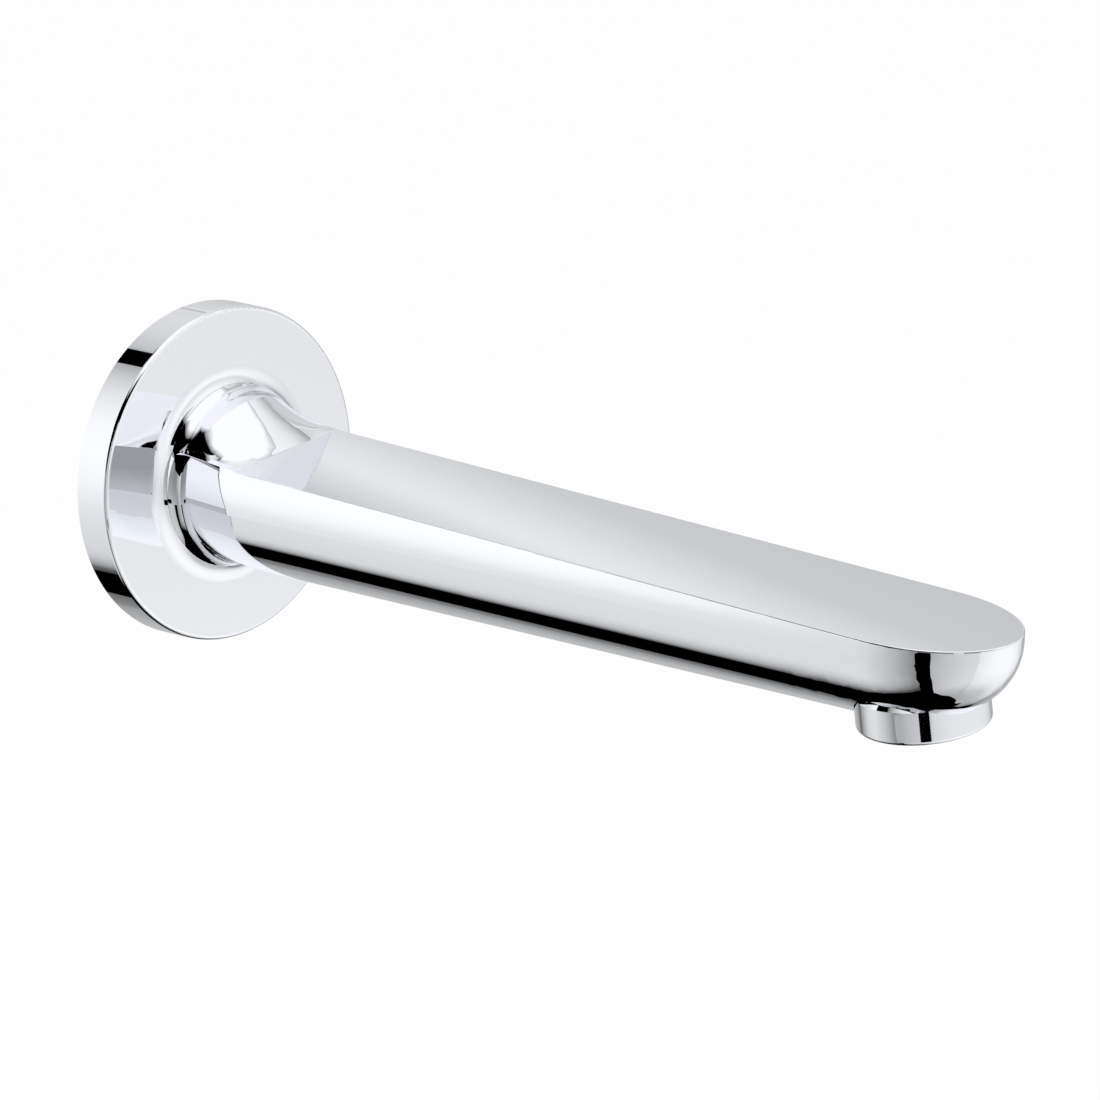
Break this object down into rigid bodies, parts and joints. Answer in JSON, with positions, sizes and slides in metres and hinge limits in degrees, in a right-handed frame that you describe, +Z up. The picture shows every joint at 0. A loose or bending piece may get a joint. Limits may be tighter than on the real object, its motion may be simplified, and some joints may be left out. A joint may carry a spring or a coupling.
{
  "type": "wall spout",
  "caption": "Chromed wall spout with a round escutcheon, a short neck, a long flat-topped body that falls to a rounded nose, and an aerator ring under the nose.",
  "frame": {"origin": "where the axis of the inlet thread crosses the wall plane, at the centre of the escutcheon's back", "axes": "+X out of the wall along the spout, +Z up, +Y across the spout"},
  "size_m": [0.2426, 0.07, 0.07],
  "materials": {
    "chrome_body": "polished chrome on cast brass",
    "chrome_escutcheon": "polished chrome on brass",
    "chrome_ring": "polished chrome on brass",
    "raw_brass": "turned brass, bare",
    "screw_steel": "dark steel",
    "black_rubber": "matt moulded rubber",
    "foam_rubber": "closed-cell foam",
    "aerator_plastic": "moulded plastic"
  },
  "bodies": {
    "root": {"spout_body": "chrome_body", "escutcheon": "chrome_escutcheon", "escutcheon_o_ring": "black_rubber", "wall_seal": "foam_rubber", "connection_nipple": "raw_brass", "nipple_o_rings": "black_rubber", "grub_screw": "screw_steel", "aerator_housing": "chrome_ring", "aerator_seal": "black_rubber", "aerator_filter": "aerator_plastic", "aerator_diffuser": "aerator_plastic", "aerator_grid": "aerator_plastic"}
  },
  "joints": []
}
